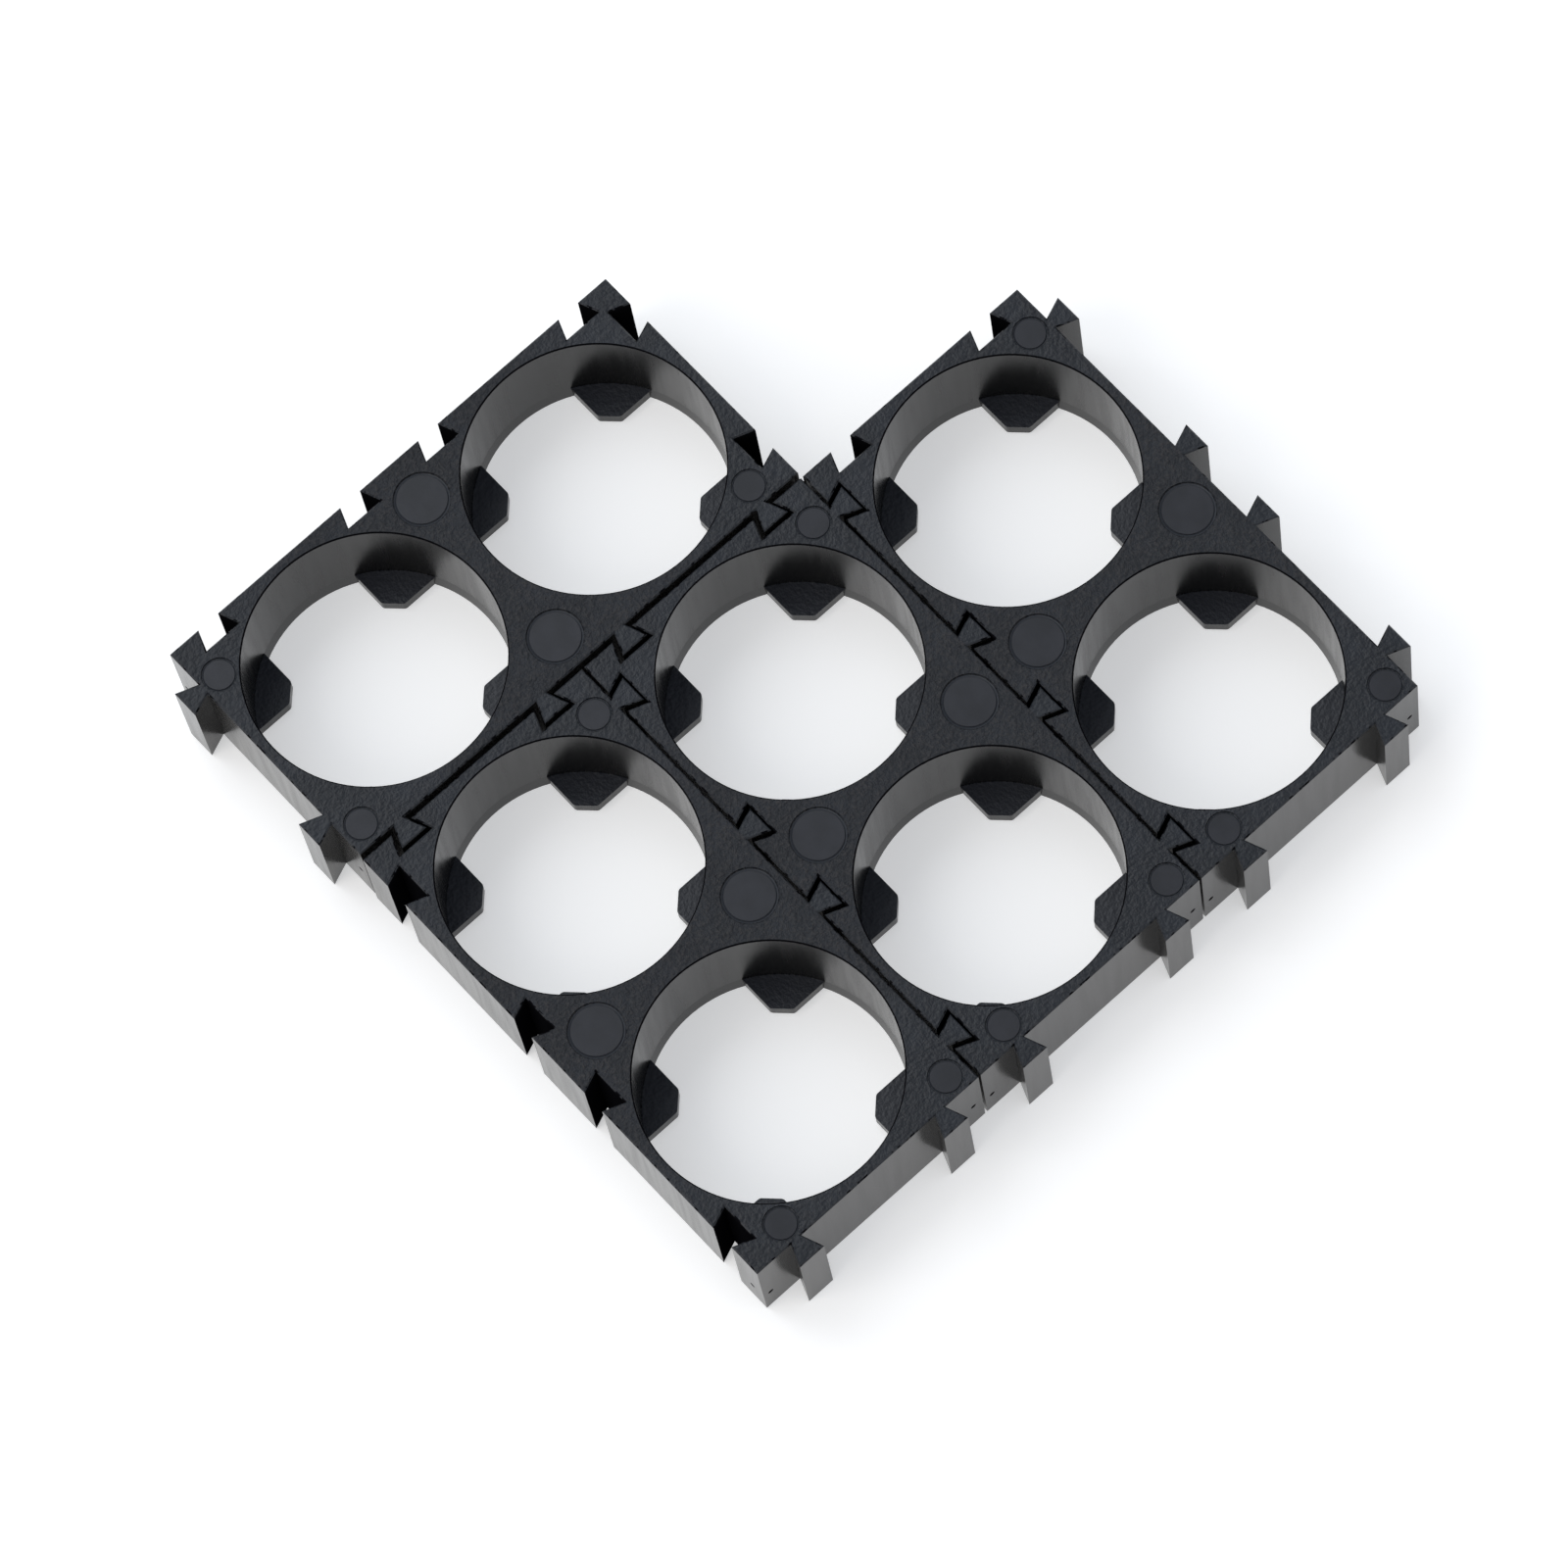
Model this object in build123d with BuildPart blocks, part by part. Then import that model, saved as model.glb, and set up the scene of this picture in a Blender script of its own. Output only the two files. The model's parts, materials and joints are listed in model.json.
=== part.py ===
"""Interlocking holder for cylindrical battery cells.

Four copies of one moulded bracket, each with two cell bores, keyed together
with dovetails into a grid of three by three bores less one corner.

Frame: +Z up, Z = 0 on the bottom faces, origin below the middle of the
bounding box. X runs along the three brackets that lie side by side, Y runs
across them and along the fourth, which lies crosswise at the -X end.
All lengths are in millimetres.
"""
from build123d import *
from math import radians, tan
import os

# Cell grid
bore_diameter = 18.5       # takes a cell of 18 mm nominal diameter
bore_spacing = 1.75        # between the walls of neighbouring bores
height = 8.3
cells_per_bracket = 2
seam_gap = 0.2             # between the flat sides of two joined brackets

# Dovetails: two to a cell on every side, rails on two sides, slots on the others
corner_wall = 0.45         # between the two slots that flank a corner
rail_neck = 0.95
rail_depth = 1.62
flank_angle = 21.0         # degrees from square to the side
side_play = 0.35           # each side, between a rail and its slot's mouth
end_play = 0.13            # beyond a rail's head

# Tabs that stop the cells at the bottom of each bore
tab_thickness = 1.0
window_half_width = 4.2    # the tabs' straight edges, from the cell's centre
window_closing = 0.2       # the wall between the tabs leans in by this much, down to the bottom
tab_corner_cut = 1.15
tab_corner_radius = 0.35

# Edges and the round marks that the ejector pins leave in the top face
edge_break = 0.1
mark_depth = 0.1
large_mark_radius = 2.05
small_mark_radius = 1.28
large_mark_from_rail_side = 2.6
small_mark_from_rail_side = 1.6
mark_from_slot_side = 3.5
small_mark_from_rail_end = 1.5
small_mark_from_slot_end = 3.1

# The crosswise bracket sits at one end of its play
crosswise_pull = 0.2       # drawn out of the slots, along -X
crosswise_slip = 0.12      # along its seam, towards +Y

# Worked out from the sizes above
cell_pitch = bore_diameter + bore_spacing
bracket_length = cells_per_bracket * cell_pitch - seam_gap
bracket_width = cell_pitch - seam_gap
bore_radius = bore_diameter / 2
window_radius = bore_radius - window_closing
flank_slope = tan(radians(flank_angle))
rail_width_at_mouth = rail_neck + 2 * seam_gap * flank_slope
slot_mouth = rail_width_at_mouth + 2 * side_play
slot_depth = rail_depth - seam_gap + end_play
slot_inner_width = slot_mouth + 2 * slot_depth * flank_slope
dovetail_offset = bracket_width / 2 - slot_depth - corner_wall - slot_inner_width / 2

cell_spots = [(i - (cells_per_bracket - 1) / 2) * cell_pitch for i in range(cells_per_bracket)]
side_spots = [x + s * dovetail_offset for x in cell_spots for s in (-1, 1)]
end_spots = [-dovetail_offset, dovetail_offset]


def dovetail_profile(narrow_width, depth):
    """A trapezium that starts narrow on the X axis and widens along +Y."""
    wide_width = narrow_width + 2 * depth * flank_slope
    with BuildSketch() as profile:
        with BuildLine():
            Polyline(
                (-narrow_width / 2, 0),
                (-wide_width / 2, depth),
                (wide_width / 2, depth),
                (narrow_width / 2, 0),
                close=True,
            )
        make_face()
    return profile.sketch


def make_tab_window():
    """The space between the four tabs of one bore, standing on the origin."""
    diamond_half = 2 * window_half_width + tab_corner_cut
    with BuildPart() as window:
        with BuildSketch(Plane.XY) as outline:
            Rectangle(2 * bore_radius, 2 * window_half_width)
            Rectangle(2 * window_half_width, 2 * bore_radius)
            with BuildLine():
                Polyline(
                    (diamond_half, 0), (0, diamond_half), (-diamond_half, 0), (0, -diamond_half),
                    close=True,
                )
            make_face()
            tab_tips = outline.vertices().filter_by(lambda v: max(abs(v.X), abs(v.Y)) < bore_radius - edge_break)
            fillet(tab_tips, tab_corner_radius)
        extrude(amount=tab_thickness)
        Cone(
            window_radius, bore_radius, tab_thickness,
            align=(Align.CENTER, Align.CENTER, Align.MIN), mode=Mode.INTERSECT,
        )
    return window.part


rail_profile = dovetail_profile(rail_neck, rail_depth)
slot_profile = dovetail_profile(slot_mouth, slot_depth)
tab_window = make_tab_window()


def ejector_marks():
    """Centres and radii of the round marks, in the bracket's own frame."""
    rail_side = bracket_width / 2
    slot_side = -bracket_width / 2
    rail_end = bracket_length / 2 - small_mark_from_rail_end
    slot_end = -bracket_length / 2 + small_mark_from_slot_end
    return [
        (0, rail_side - large_mark_from_rail_side, large_mark_radius),
        (0, slot_side + mark_from_slot_side, large_mark_radius),
        (rail_end, rail_side - small_mark_from_rail_side, small_mark_radius),
        (rail_end, slot_side + mark_from_slot_side, small_mark_radius),
        (slot_end, rail_side - small_mark_from_rail_side, small_mark_radius),
    ]


def make_bracket(label, plane):
    """One moulded bracket on the given plane: X along its cells, rails towards +X and +Y."""
    with BuildPart() as bracket:
        with BuildSketch(plane):
            Rectangle(bracket_length, bracket_width)
            with Locations([(x, bracket_width / 2) for x in side_spots]):
                add(rail_profile)
            with Locations([Location((bracket_length / 2, y, 0), (0, 0, -90)) for y in end_spots]):
                add(rail_profile)
            with Locations([(x, -bracket_width / 2) for x in side_spots]):
                add(slot_profile, mode=Mode.SUBTRACT)
            with Locations([Location((-bracket_length / 2, y, 0), (0, 0, -90)) for y in end_spots]):
                add(slot_profile, mode=Mode.SUBTRACT)
        extrude(amount=height)

        with BuildSketch(plane.offset(tab_thickness)):
            with Locations([(x, 0) for x in cell_spots]):
                Circle(bore_radius)
        extrude(amount=height - tab_thickness, mode=Mode.SUBTRACT)

        for x in cell_spots:
            add(plane.location * Pos(x, 0, 0) * tab_window, mode=Mode.SUBTRACT)

        top_face = bracket.faces().sort_by(Axis.Z)[-1]
        chamfer(top_face.edges(), length=edge_break)

        for x, y, radius in ejector_marks():
            with BuildSketch(plane.offset(height)):
                with Locations((x, y)):
                    Circle(radius)
            extrude(amount=-mark_depth, mode=Mode.SUBTRACT)
    bracket.part.label = label
    return bracket.part


# Layout: the grid's cell (column, row) centres, with the origin below the box's middle.
crosswise_centre_x = -(cells_per_bracket + 1) / 2 * cell_pitch - crosswise_pull
crosswise_centre_y = -cell_pitch / 2 + crosswise_slip
box_low_x = crosswise_centre_x - bracket_width / 2
box_high_x = bracket_length / 2 + rail_depth
box_low_y = crosswise_centre_y - bracket_length / 2 - rail_depth
box_high_y = cell_pitch + bracket_width / 2 + rail_depth
origin_x = (box_low_x + box_high_x) / 2
origin_y = (box_low_y + box_high_y) / 2

bracket_planes = {
    "front_bracket": Plane(origin=(-origin_x, -cell_pitch - origin_y, 0)),
    "middle_bracket": Plane(origin=(-origin_x, -origin_y, 0)),
    "back_bracket": Plane(origin=(-origin_x, cell_pitch - origin_y, 0)),
    "crosswise_bracket": Plane(
        origin=(crosswise_centre_x - origin_x, crosswise_centre_y - origin_y, 0),
        x_dir=(0, -1, 0),
        z_dir=(0, 0, 1),
    ),
}

os.makedirs("parts", exist_ok=True)
for name, plane in bracket_planes.items():
    part = make_bracket(name, plane)
    export_step(part, f"parts/{name}.step")
    box = part.bounding_box()
    print(f"{name}: volume {part.volume:.1f} mm3, X {box.min.X:.3f} to {box.max.X:.3f},"
          f" Y {box.min.Y:.3f} to {box.max.Y:.3f}, Z {box.min.Z:.3f} to {box.max.Z:.3f}")
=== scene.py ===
# %% [markdown]
# # An interlocking holder for cylindrical battery cells
#
# The real object is a small grid of moulded black plastic brackets. Each bracket has two round bores,
# and dovetail rails and slots along its sides, so that brackets of the same kind hook into each other.
# Four of them are joined here, and lie on a white table.
#
# The shapes come packed from the CAD model, so this lesson is about what CAD leaves out: how moulded
# plastic looks, the marks that the mould leaves on it, and light that shows both.

# %% Load the frame
import json
import math

import bpy
from mathutils import Matrix, Vector


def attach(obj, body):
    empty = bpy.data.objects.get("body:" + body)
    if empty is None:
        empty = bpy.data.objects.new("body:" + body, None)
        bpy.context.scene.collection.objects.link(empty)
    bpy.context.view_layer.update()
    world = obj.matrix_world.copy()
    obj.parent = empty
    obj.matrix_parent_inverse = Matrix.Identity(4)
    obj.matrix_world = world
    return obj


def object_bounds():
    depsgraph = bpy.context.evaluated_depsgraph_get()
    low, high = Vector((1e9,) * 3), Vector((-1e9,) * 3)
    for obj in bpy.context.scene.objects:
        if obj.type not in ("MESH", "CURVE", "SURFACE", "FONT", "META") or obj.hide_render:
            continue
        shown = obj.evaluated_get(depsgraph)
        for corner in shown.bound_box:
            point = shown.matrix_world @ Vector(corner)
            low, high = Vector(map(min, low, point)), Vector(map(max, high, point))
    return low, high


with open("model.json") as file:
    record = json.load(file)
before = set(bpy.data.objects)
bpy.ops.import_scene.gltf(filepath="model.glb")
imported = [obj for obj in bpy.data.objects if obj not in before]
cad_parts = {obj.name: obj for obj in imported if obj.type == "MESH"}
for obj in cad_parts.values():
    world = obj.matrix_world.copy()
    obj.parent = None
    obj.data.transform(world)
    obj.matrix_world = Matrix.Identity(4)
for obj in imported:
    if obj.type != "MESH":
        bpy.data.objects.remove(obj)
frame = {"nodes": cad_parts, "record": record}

cad_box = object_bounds()
print("CAD box, mm:", [round(v * 1000, 2) for corner in cad_box for v in corner])

# %% [markdown]
# ## The sizes that everything else follows
#
# Every bracket is the same moulding, so a place on one is a place on all four. Each bracket gets its
# own axes: X along its two cells, Y across them towards its rails, and the origin in the middle of its
# body. Three lie along the table's X axis, and the crosswise one is turned by a quarter of a turn. The
# bores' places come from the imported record's mounts, so a mark that is set out in a bracket's own axes
# lands right on each of them.

# %% Bracket places, in metres
MM = 0.001
nodes_of_body = frame["record"]["behaviour"]["bodies"]
BODY_OF_NODE = {node: body for body, nodes in nodes_of_body.items() for node in nodes}
bore_mounts = [mount for mount in frame["record"]["mounts"] if mount["kind"] == "bore"]
bores = {mount["name"]: Vector(mount["pos_m"]) for mount in bore_mounts}
BORE_RADIUS = bore_mounts[0]["dims"]["r_mm"] * MM
TOP = cad_box[1].z
HALF_LENGTH, HALF_WIDTH = 20.15, 10.025  # of one bracket's body, in millimetres, without its rails

bracket_axes = {}
for node, body in BODY_OF_NODE.items():
    first, second = bores[f"{body}_cell_1"], bores[f"{body}_cell_2"]
    centre = (first + second) / 2
    centre.z = 0.0
    along = (second - first).normalized()
    if abs(along.y) > abs(along.x):  # the crosswise bracket's rail end points to -Y
        along = -along
    across = Vector((0, 0, 1)).cross(along)
    turn = Matrix((along, across, (0, 0, 1))).transposed().to_4x4()
    bracket_axes[node] = Matrix.Translation(centre) @ turn
CELL_PITCH = (bores["middle_cell_2"] - bores["middle_cell_1"]).length
print("brackets:", sorted(bracket_axes), "pitch, mm:", round(CELL_PITCH / MM, 2))

# %% [markdown]
# ## Camera
#
# A holder this small is usually pictured from well above through a long lens, which keeps its grid
# nearly square. The camera gets a place and three angles: how far round it stands, how steeply it looks
# down, and how much it is rolled about its own line of sight.

# %% Camera
def aimed_camera(name, place, azimuth, elevation, roll, lens):
    """A camera at place, looking back along the direction that azimuth and elevation give, in degrees."""
    a, e, r = (math.radians(v) for v in (azimuth, elevation, roll))
    back = Vector((math.sin(a) * math.cos(e), -math.cos(a) * math.cos(e), math.sin(e)))
    right = Vector((math.cos(a), math.sin(a), 0))
    up = back.cross(right)
    rolled_right = math.cos(r) * right + math.sin(r) * up
    rolled_up = back.cross(rolled_right)
    data = bpy.data.cameras.new(name)
    data.sensor_width = 36.0
    data.lens = lens
    data.clip_start, data.clip_end = 0.01, 10.0
    camera = bpy.data.objects.new(name, data)
    turn = Matrix((rolled_right, rolled_up, back)).transposed().to_4x4()
    camera.matrix_world = Matrix.Translation(place) @ turn
    bpy.context.scene.collection.objects.link(camera)
    print(name, "has a lens of", lens, "mm and looks down by", elevation, "degrees")
    return camera


bpy.context.scene.camera = aimed_camera(
    "camera", place=Vector((182.81, -106.1, 578.27)) * MM,
    azimuth=60.57, elevation=70.3, roll=-13.36, lens=204.24,
)

# %% [markdown]
# ## Shader helpers
#
# A material is a small net of nodes. Writing each node and its links out takes many lines, so one
# helper adds a node with its settings and inputs in a single call. A number goes straight onto the
# input, and another node's output is linked to it.

# %% Node helper
class Net:
    """Adds nodes to one material's tree."""

    def __init__(self, name):
        self.material = bpy.data.materials.new(name)
        self.material.use_nodes = True
        self.tree = self.material.node_tree
        self.tree.nodes.clear()

    def add(self, kind, inputs=None, **settings):
        node = self.tree.nodes.new(kind)
        for key, value in settings.items():
            setattr(node, key, value)
        for key, value in (inputs or {}).items():
            if isinstance(value, bpy.types.NodeSocket):
                self.tree.links.new(value, node.inputs[key])
            else:
                node.inputs[key].default_value = value
        return node

    def math(self, operation, *values):
        return self.add("ShaderNodeMath", dict(enumerate(values)), operation=operation).outputs[0]

    def between(self, value, low, high, to_low=0.0, to_high=1.0):
        """value, mapped smoothly from low..high onto to_low..to_high."""
        node = self.add("ShaderNodeMapRange", {0: value, 1: low, 2: high, 3: to_low, 4: to_high},
                        interpolation_type="SMOOTHSTEP")
        return node.outputs[0]

    def mix(self, factor, first, second):
        node = self.add("ShaderNodeMix", data_type="RGBA")
        for index, value in ((0, factor), (6, first), (7, second)):
            if isinstance(value, bpy.types.NodeSocket):
                self.tree.links.new(value, node.inputs[index])
            else:
                node.inputs[index].default_value = value
        return node.outputs[2]

    def noise(self, vector, scale, detail=2.0, roughness=0.5):
        node = self.add("ShaderNodeTexNoise",
                        {"Vector": vector, "Scale": scale, "Detail": detail, "Roughness": roughness})
        return node.outputs[0]


# %% [markdown]
# ## Black moulded plastic
#
# One plastic makes the whole bracket, and the mould gives it different skins. The faces that the
# mould's plates form are matt with a fine grain, coarsest between the two bores and nearly gone on the
# rails and at the ends. The bores and the sides slide along polished steel as the part leaves the
# mould, so they come out smoother and mirror the table at a low angle. The direction of a face's normal
# tells the skins apart: up or down, sideways, or nearly sideways, where the wall leans in at the foot
# of a bore. The broken edges of the top are matt like the top, but dark and dull round the bores as
# painted shade, and at small nicks as wear. The inside of a slot and the few small pits in the outer
# walls see little light, so they get painted shade: a dark skin that mirrors nothing.
#
# A value that is the same all over a skin sits on its own shader, and the skins are joined by Mix
# Shader nodes. A Mapping node brings the pattern into each bracket's own axes, so all four carry it in
# the same way.

# %% Plastic helper
def plastic_shader(net, colour, roughness, normal=None, ior=1.5, gloss=0.5):
    inputs = {"Base Color": colour, "Roughness": roughness, "IOR": ior, "Specular IOR Level": gloss}
    if normal is not None:
        inputs["Normal"] = normal
    return net.add("ShaderNodeBsdfPrincipled", inputs).outputs[0]


# %% Where on the bracket a point lies
RIM_WIDTH = 0.2 * MM     # from a bore's wall over its broken edge
RIM_FADE = 0.1 * MM
INSIDE_BORE = 0.05 * MM  # how far in from the bore's wall a point counts as inside
INSIDE_BODY = 0.02 * MM  # and how far in from a flat side
GRAIN_AT_ENDS = 0.35     # as a share of the grain between the bores


def bracket_masks(net, own):
    """Four masks from 0 to 1: the coarse middle, the rim of a bore, inside a bore, and inside a slot."""
    split = net.add("ShaderNodeSeparateXYZ", {0: own})
    along = net.math("ABSOLUTE", split.outputs[0])
    across = net.math("ABSOLUTE", split.outputs[1])
    from_axis = net.math("SUBTRACT", along, CELL_PITCH / 2)
    radius = net.math("SQRT", net.math("ADD", net.math("MULTIPLY", from_axis, from_axis),
                                       net.math("MULTIPLY", across, across)))
    rim = net.between(radius, BORE_RADIUS + RIM_WIDTH + RIM_FADE, BORE_RADIUS + RIM_WIDTH)
    in_bore = net.math("LESS_THAN", radius, BORE_RADIUS - INSIDE_BORE)
    body_width = net.math("LESS_THAN", across, HALF_WIDTH * MM - INSIDE_BODY)
    body_length = net.math("LESS_THAN", along, HALF_LENGTH * MM - INSIDE_BODY)
    in_body = net.math("MULTIPLY", body_width, body_length)
    in_slot = net.math("MULTIPLY", in_body, net.math("GREATER_THAN", radius, BORE_RADIUS + RIM_WIDTH))
    fading = net.between(along, 0.8 * CELL_PITCH, 0.3 * CELL_PITCH, GRAIN_AT_ENDS, 1.0)
    coarse = net.math("MULTIPLY", net.math("MULTIPLY", fading, in_body), net.math("SUBTRACT", 1.0, in_bore))
    return coarse, rim, in_bore, in_slot


# %% Pits left in the outer walls, in millimetres in the bracket's own axes
# Each pit is painted shade only: a dark spot on the wall, with no hollow.
PITS = [(19.0, -HALF_WIDTH, 2.7), (HALF_LENGTH, -9.4, 2.6), (HALF_LENGTH, 9.2, 3.4)]
PIT_RADIUS = 0.22 * MM


def pit_mask(net, own):
    """1 in a pit, else 0."""
    mask = 0.0
    for pit in PITS:
        away = net.add("ShaderNodeVectorMath", {0: own, 1: Vector(pit) * MM}, operation="DISTANCE")
        inside = net.between(away.outputs[1], PIT_RADIUS * 1.2, PIT_RADIUS * 0.8)
        mask = net.math("MAXIMUM", mask, inside)
    return mask


# %% Colours and noise scales of the plastic
MATT_DARK, MATT_PALE = (0.008, 0.010, 0.014, 1), (0.013, 0.016, 0.022, 1)
FLECKS_ON_GRAIN = (0.022, 0.022, 0.025, 1)
# Painted light: the tab tops inside the bores are coloured lighter than the matt face, standing in for the
# light they catch.
TAB_TOPS_PAINTED_LIGHTER = (0.028, 0.030, 0.037, 1)
SATIN = (0.012, 0.011, 0.010, 1)
BORE_WALL = (0.008, 0.008, 0.008, 1)
LEANING_FOOT = (0.010, 0.010, 0.010, 1)
# Painted shade for the insides of slots, the pits and the broken edges round the bores; the same dark skin
# is wear at small nicks.
PAINTED_SHADE_AND_NICKS = (0.004, 0.004, 0.005, 1)
CLOUDS, CLUMPS, GRAIN, STREAKS, NICKS = 260.0, 1800.0, 3900.0, 1500.0, 1100.0  # waves in a metre
GRAIN_DEPTH = 0.25 * MM

# How far a face's normal points up or down, where one skin fades into the next.
WALL_TO_FOOT = (0.1, 0.18)
WALL_TO_TOP = (0.3, 0.5)
FLAT_TO_EDGE = (0.95, 0.85)


# %% Plastic material
def black_plastic(name, axes):
    """Moulded black plastic for one bracket; axes turns the bracket's own axes into the scene's."""
    net = Net(name)
    place = net.add("ShaderNodeTexCoord").outputs["Object"]
    own = net.add("ShaderNodeMapping", {
        "Vector": place, "Location": axes.translation, "Rotation": axes.to_euler(),
    }, vector_type="TEXTURE").outputs[0]
    coarse, rim, in_bore, in_slot = bracket_masks(net, own)
    normal = net.add("ShaderNodeNewGeometry").outputs["True Normal"]
    upward = net.math("ABSOLUTE", net.add("ShaderNodeSeparateXYZ", {0: normal}).outputs[2])

    clouds = net.noise(own, CLOUDS, 3.0, 0.6)
    clumps = net.noise(own, CLUMPS)
    fine = net.noise(own, GRAIN, 2.0, 0.6)
    grain = net.add("ShaderNodeBump", {
        "Strength": net.between(coarse, 0.0, 1.0, 0.25, 1.0),
        "Distance": GRAIN_DEPTH,
        "Height": net.math("ADD", fine, net.math("MULTIPLY", clumps, 0.8)),
    }).outputs[0]
    colour = net.mix(net.between(clouds, 0.35, 0.68), MATT_DARK, MATT_PALE)
    flecks = net.math("MULTIPLY", coarse, net.between(fine, 0.45, 0.68))
    colour = net.mix(flecks, colour, FLECKS_ON_GRAIN)
    # Painted light: the tab tops inside the bores take the lighter colour.
    colour = net.mix(in_bore, colour, TAB_TOPS_PAINTED_LIGHTER)
    matt = plastic_shader(net, colour, net.between(coarse, 0.0, 1.0, 0.4, 0.6), grain, ior=1.42)

    # Streaks run the way the part leaves the mould, so the noise is drawn out along Z.
    drawn_out = net.add("ShaderNodeMapping", {"Vector": own, "Scale": (1.0, 1.0, 0.08)}).outputs[0]
    streaks = net.noise(drawn_out, STREAKS)
    satin = plastic_shader(net, SATIN, net.between(streaks, 0.3, 0.7, 0.17, 0.23), ior=1.36)
    bore = plastic_shader(net, BORE_WALL, net.between(streaks, 0.3, 0.7, 0.22, 0.28), ior=1.33)
    foot = plastic_shader(net, LEANING_FOOT, 0.25, ior=1.65)
    painted_shade_and_nicks = plastic_shader(net, PAINTED_SHADE_AND_NICKS, 0.7, gloss=0.0)

    edge = net.math("MULTIPLY", net.between(upward, *WALL_TO_TOP), net.between(upward, *FLAT_TO_EDGE))
    nicks = net.between(net.noise(own, NICKS, 3.0, 0.6), 0.53, 0.58)
    skins = satin
    for factor, skin in (
        (rim, bore),
        (net.between(upward, *WALL_TO_FOOT), foot),
        # Painted shade inside the slots and in the pits.
        (net.math("MAXIMUM", in_slot, pit_mask(net, own)), painted_shade_and_nicks),
        (net.between(upward, *WALL_TO_TOP), matt),
        # Painted shade on the broken edges round the bores; at nicks the same dark skin is wear.
        (net.math("MULTIPLY", edge, net.math("MAXIMUM", rim, nicks)), painted_shade_and_nicks),
    ):
        skins = net.add("ShaderNodeMixShader", {0: factor, 1: skins, 2: skin}).outputs[0]
    net.add("ShaderNodeOutputMaterial", {0: skins})
    return net.material


for node, body in BODY_OF_NODE.items():
    mesh_object = frame["nodes"][node]
    material = black_plastic(f"black plastic, {body}", bracket_axes[node])
    for material_slot in mesh_object.material_slots:
        material_slot.material = material
    print(node, "carries", [s.material.name for s in mesh_object.material_slots])

# %% [markdown]
# ## Ejector marks
#
# Round pins push the warm bracket out of its mould, and each leaves a smooth disc in the top face: two
# large ones between the bores, and small ones near three corners. The CAD model has a shallow round
# recess at each. The discs here lie in those recesses. Each is a little narrower than its recess, which
# leaves the thin dark line round it.
#
# Discs repeat, so Geometry Nodes set one on every mark. The marks are the points of a bare mesh, with
# each disc's radius kept on its point. One disc of radius 1 is a filled circle for its top, a wider one
# for its underside, and a quarter-round swept round the edge.
#
# One fault is still open. The quarter-round is meant to run up to the top circle as a rounded rim that
# catches the light. It runs down from the wider circle instead, into the plastic, so the top circle is
# a loose sheet and no rim shows. The mend is to turn the sweep over, then count the open edges.

# %% Marks on one bracket, in millimetres in its own axes: X, Y, radius of the recess
RAIL_SIDE, SLOT_SIDE = HALF_WIDTH, -HALF_WIDTH
RAIL_END, SLOT_END = HALF_LENGTH, -HALF_LENGTH
EJECTOR_MARKS = [
    (0.0, RAIL_SIDE - 2.6, 2.05),
    (0.0, SLOT_SIDE + 3.5, 2.05),
    (RAIL_END - 1.5, RAIL_SIDE - 1.6, 1.28),
    (RAIL_END - 1.5, SLOT_SIDE + 3.5, 1.28),
    (SLOT_END + 3.1, RAIL_SIDE - 1.6, 1.28),
]


# %% Tree for the discs
class Tree:
    """Adds nodes to one Geometry Nodes group."""

    def __init__(self, name):
        self.group = bpy.data.node_groups.new(name, "GeometryNodeTree")
        self.group.interface.new_socket("Geometry", in_out="INPUT", socket_type="NodeSocketGeometry")
        self.group.interface.new_socket("Geometry", in_out="OUTPUT", socket_type="NodeSocketGeometry")
        self.start = self.group.nodes.new("NodeGroupInput")
        self.end = self.group.nodes.new("NodeGroupOutput")

    def size(self, name):
        """A named size, to be set on the modifier."""
        self.group.interface.new_socket(name, in_out="INPUT", socket_type="NodeSocketFloat")
        return self.start.outputs[name]

    def add(self, kind, inputs=None, **settings):
        node = self.group.nodes.new(kind)
        for key, value in settings.items():
            setattr(node, key, value)
        for key, value in (inputs or {}).items():
            for item in value if isinstance(value, list) else [value]:
                if isinstance(item, bpy.types.NodeSocket):
                    self.group.links.new(item, node.inputs[key])
                else:
                    node.inputs[key].default_value = item
        return node


ROUND_STEPS = 96       # round a disc
MERGE_WITHIN = 0.0001  # as a share of the disc's radius


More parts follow.
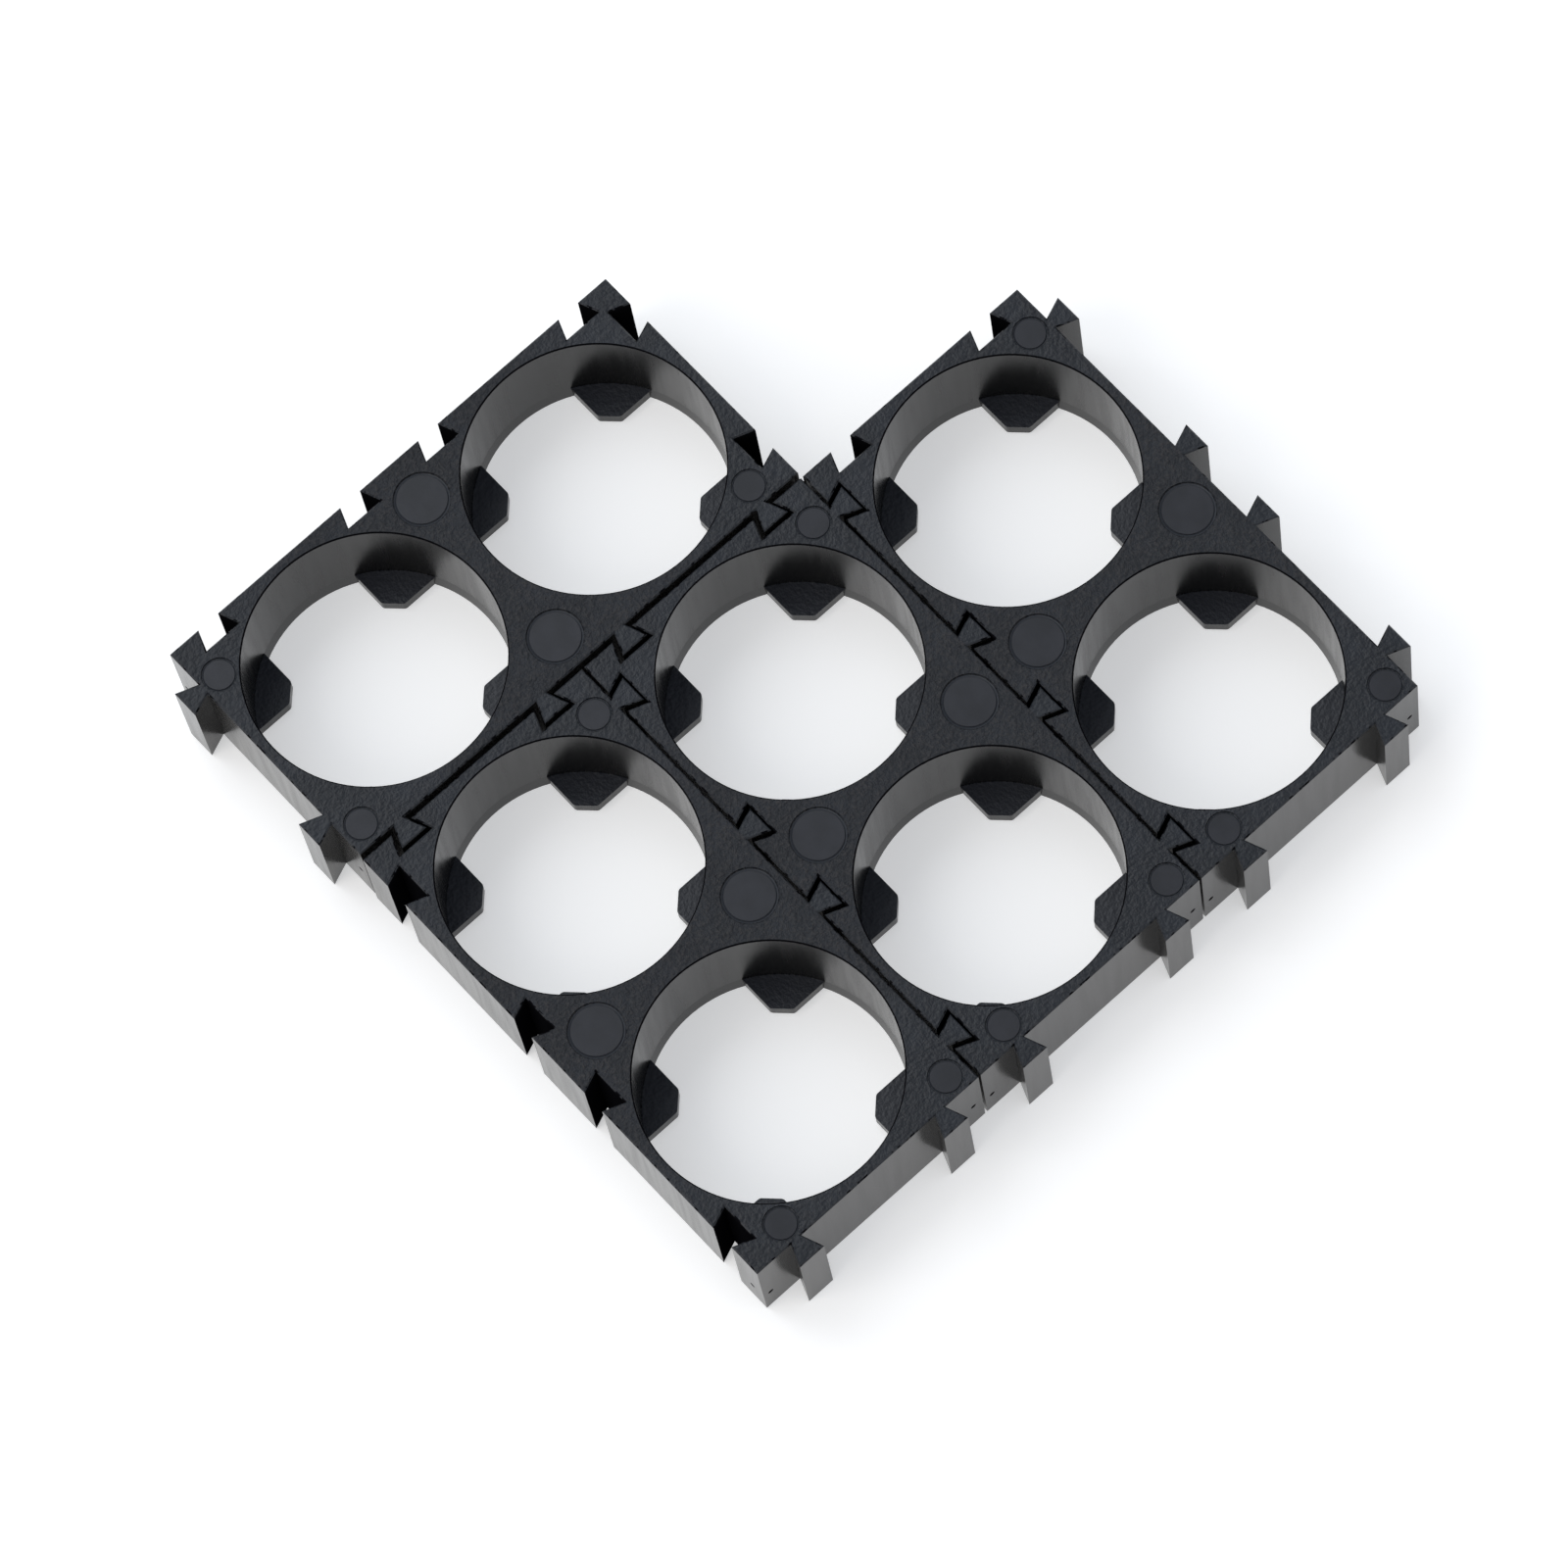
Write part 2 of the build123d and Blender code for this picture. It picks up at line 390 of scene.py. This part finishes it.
def disc_tree(material):
    """A disc on every point, as wide as the point's own radius."""
    tree = Tree("discs on marks")
    thickness = tree.size("Thickness")
    rounding = tree.size("Rim width")
    inner = tree.add("ShaderNodeMath", {0: 1.0, 1: rounding}, operation="SUBTRACT").outputs[0]
    outline = tree.add("GeometryNodeCurvePrimitiveCircle", {"Resolution": ROUND_STEPS, "Radius": inner})
    flat = tree.add("GeometryNodeFillCurve", {"Curve": outline.outputs[0]}, mode="NGONS")
    flat = tree.add("GeometryNodeTransform", {
        "Geometry": flat.outputs[0],
        "Translation": tree.add("ShaderNodeCombineXYZ", {2: thickness}).outputs[0],
    })
    widest = tree.add("GeometryNodeCurvePrimitiveCircle", {"Resolution": ROUND_STEPS, "Radius": 1.0})
    underside = tree.add("GeometryNodeFillCurve", {"Curve": widest.outputs[0]}, mode="NGONS")
    underside = tree.add("GeometryNodeFlipFaces", {"Mesh": underside.outputs[0]})  # so it faces down
    # The sweep below comes out upside down: it hangs under the wider circle.
    rim = tree.add("GeometryNodeCurveArc", {"Resolution": 5, "Radius": 1.0, "Sweep Angle": math.pi / 2})
    rim = tree.add("GeometryNodeTransform", {
        "Geometry": rim.outputs[0],
        "Scale": tree.add("ShaderNodeCombineXYZ", {0: rounding, 1: thickness, 2: 1.0}).outputs[0],
    })
    rim = tree.add("GeometryNodeCurveToMesh", {
        "Curve": outline.outputs[0], "Profile Curve": rim.outputs[0],
    })
    pieces = [flat.outputs[0], rim.outputs[0], underside.outputs[0]]
    disc = tree.add("GeometryNodeJoinGeometry", {"Geometry": pieces})
    disc = tree.add("GeometryNodeMergeByDistance", {"Geometry": disc.outputs[0], "Distance": MERGE_WITHIN})
    radius = tree.add("GeometryNodeInputNamedAttribute", {"Name": "disc_radius"}, data_type="FLOAT")
    spread = tree.add("ShaderNodeCombineXYZ", {0: radius.outputs[0], 1: radius.outputs[0], 2: 1.0})
    placed = tree.add("GeometryNodeInstanceOnPoints", {
        "Points": tree.start.outputs["Geometry"], "Instance": disc.outputs[0], "Scale": spread.outputs[0],
    })
    real = tree.add("GeometryNodeRealizeInstances", {"Geometry": placed.outputs[0]})
    painted = tree.add("GeometryNodeSetMaterial", {"Geometry": real.outputs[0], "Material": material})
    smooth = tree.add("GeometryNodeSetShadeSmooth", {"Geometry": painted.outputs[0]})
    tree.group.links.new(smooth.outputs[0], tree.end.inputs[0])
    return tree.group


# %% Finish of the discs
DISC_DARK, DISC_PALE = (0.009, 0.010, 0.014, 1), (0.015, 0.016, 0.022, 1)
DISC_SHOULDER_HIGHLIGHT = (0.05, 0.055, 0.065, 1)  # a painted highlight for the rounded rim, lighter where the normal tilts; as the rim is missing, it doesn't show yet
DISC_CLOUDS, DISC_GRAIN = 500.0, 6000.0  # waves in a metre
DISC_GRAIN_DEPTH = 0.03 * MM


def disc_plastic():
    """Smoother than the face round it, as the pin's end is turned, not etched."""
    net = Net("ejector disc plastic")
    place = net.add("ShaderNodeTexCoord").outputs["Object"]
    clouds = net.noise(place, DISC_CLOUDS)
    colour = net.mix(net.between(clouds, 0.3, 0.7), DISC_DARK, DISC_PALE)
    normal = net.add("ShaderNodeNewGeometry").outputs["Normal"]
    upward = net.add("ShaderNodeSeparateXYZ", {0: normal}).outputs[2]
    # Painted highlight: a lighter colour where the rim's normal tilts away from straight up.
    shoulder_highlight = net.math("MULTIPLY", net.between(upward, 0.5, 0.8), net.between(upward, 0.995, 0.96))
    colour = net.mix(shoulder_highlight, colour, DISC_SHOULDER_HIGHLIGHT)
    fine = net.noise(place, DISC_GRAIN)
    bump = net.add("ShaderNodeBump", {
        "Strength": 0.08, "Distance": DISC_GRAIN_DEPTH, "Height": fine,
    }).outputs[0]
    skin = plastic_shader(net, colour, net.between(fine, 0.3, 0.7, 0.4, 0.48), bump, ior=1.45)
    net.add("ShaderNodeOutputMaterial", {0: skin})
    return net.material


# %% Discs on every bracket
RECESS_DEPTH = 0.1 * MM
LINE_WIDTH = 0.1 * MM
FLOOR_GAP = 0.002 * MM  # keeps a disc's underside off the floor of its recess
DISC_SIZES = {"Thickness": 0.09 * MM, "Rim width": 0.08}  # the rim as a share of the disc's radius
disc_group = disc_tree(disc_plastic())
for node, body in BODY_OF_NODE.items():
    points = bpy.data.meshes.new(f"marks_{body}")
    low = TOP - RECESS_DEPTH + FLOOR_GAP
    places = [bracket_axes[node] @ Vector((x * MM, y * MM, low)) for x, y, radius in EJECTOR_MARKS]
    points.from_pydata(places, [], [])
    radii = points.attributes.new("disc_radius", "FLOAT", "POINT")
    radii.data.foreach_set("value", [radius * MM - LINE_WIDTH for x, y, radius in EJECTOR_MARKS])
    carrier = bpy.data.objects.new(f"marks_{body}", points)
    bpy.context.scene.collection.objects.link(carrier)
    modifier = carrier.modifiers.new("discs", "NODES")
    modifier.node_group = disc_group
    for socket in disc_group.interface.items_tree:
        if socket.name in DISC_SIZES:
            modifier[socket.identifier] = DISC_SIZES[socket.name]
    evaluated = carrier.evaluated_get(bpy.context.evaluated_depsgraph_get())
    mesh = bpy.data.meshes.new_from_object(evaluated)
    discs = bpy.data.objects.new(f"ejector_discs_{body}", mesh)
    bpy.context.scene.collection.objects.link(discs)
    bpy.data.objects.remove(carrier)
    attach(discs, body)
    highest = max(vertex.co.z for vertex in mesh.vertices)
    print(discs.name, "has", len(mesh.polygons), "faces, top at", round(highest / MM, 3), "mm")

# %% [markdown]
# ## Table
#
# The table is a plain white sheet, wide enough that its edge never shows. To the camera it is pure
# white with the object's soft shadow on it. A shader that adds a little plain white for camera, glossy
# and transmission rays does that without more light on the object.

# %% Table
TABLE_WHITE = (0.78, 0.78, 0.78, 1)
TABLE_LIFT = 0.46  # the plain white that makes the lit table show as pure white


def table_material():
    net = Net("white table")
    path = net.add("ShaderNodeLightPath")
    seen = net.math("MAXIMUM", path.outputs["Is Camera Ray"],
                    net.math("MAXIMUM", path.outputs["Is Glossy Ray"], path.outputs["Is Transmission Ray"]))
    paint = net.add("ShaderNodeBsdfDiffuse", {"Color": TABLE_WHITE})
    glow = net.add("ShaderNodeEmission", {"Color": (1.0, 1.0, 1.0, 1), "Strength": TABLE_LIFT})
    both = net.add("ShaderNodeAddShader", {0: paint.outputs[0], 1: glow.outputs[0]})
    shader = net.add("ShaderNodeMixShader", {0: seen, 1: paint.outputs[0], 2: both.outputs[0]})
    net.add("ShaderNodeOutputMaterial", {0: shader.outputs[0]})
    return net.material


TABLE_HALF = 3.0
TABLE_DROP = 0.02 * MM  # keeps the table's face off the brackets' undersides
corners = [(-1, -1), (1, -1), (1, 1), (-1, 1)]
table_mesh = bpy.data.meshes.new("table")
table_mesh.from_pydata([(x * TABLE_HALF, y * TABLE_HALF, 0) for x, y in corners], [], [(0, 1, 2, 3)])
table = bpy.data.objects.new("table", table_mesh)
table.location.z = -TABLE_DROP
bpy.context.scene.collection.objects.link(table)
table_mesh.materials.append(table_material())
print("table is", 2 * TABLE_HALF, "m square")

# %% [markdown]
# ## Light
#
# Two soft boxes light the holder. The large one is slightly blue and hangs high over the -X side. It
# brings out the smooth skins and leaves one side of each bore's floor darker. The smaller, warm one
# stands lower on the -Y side and throws a short soft shadow away from itself. The room gives the rest:
# a white sweep along the horizon, which the walls and rims mirror, and a darker, slightly blue ceiling,
# which the flat tops mirror and so stay black.

# %% Lamps
def soft_box(name, place, size, watts, colour):
    data = bpy.data.lights.new(name, "AREA")
    data.shape = "SQUARE"
    data.size = size
    data.energy = watts
    data.color = colour
    lamp = bpy.data.objects.new(name, data)
    lamp.location = place
    lamp.rotation_mode = "QUATERNION"
    lamp.rotation_quaternion = Vector(place).to_track_quat("Z", "Y")
    bpy.context.scene.collection.objects.link(lamp)
    print(name, "is", size, "m wide and gives", watts, "W")


soft_box("overhead soft box", (-0.66, -0.05, 0.84), 0.8, 4.0, (0.93, 0.97, 1.0))
soft_box("low soft box", (-0.10, -0.66, 0.68), 0.6, 2.4, (1.0, 0.94, 0.86))

# %% Room
HORIZON, CEILING = (1.0, 1.0, 1.0, 1), (0.34, 0.37, 0.42, 1)
CEILING_STARTS, CEILING_FULL = 0.25, 0.7  # heights on a sphere of radius 1

world = bpy.data.worlds.new("pale room")
bpy.context.scene.world = world
world.use_nodes = True
room = world.node_tree
direction = room.nodes.new("ShaderNodeTexCoord")
height = room.nodes.new("ShaderNodeSeparateXYZ")
fade = room.nodes.new("ShaderNodeMapRange")
fade.interpolation_type = "SMOOTHSTEP"
fade.inputs[1].default_value, fade.inputs[2].default_value = CEILING_STARTS, CEILING_FULL
tint = room.nodes.new("ShaderNodeMix")
tint.data_type = "RGBA"
tint.inputs[6].default_value, tint.inputs[7].default_value = HORIZON, CEILING
room.links.new(direction.outputs["Generated"], height.inputs[0])
room.links.new(height.outputs[2], fade.inputs[0])
room.links.new(fade.outputs[0], tint.inputs[0])
room.links.new(tint.outputs[2], room.nodes["Background"].inputs[0])
room.nodes["Background"].inputs[1].default_value = 1.0
print("room fades from", HORIZON[:3], "to", CEILING[:3])

bpy.context.scene.view_settings.view_transform = "Standard"
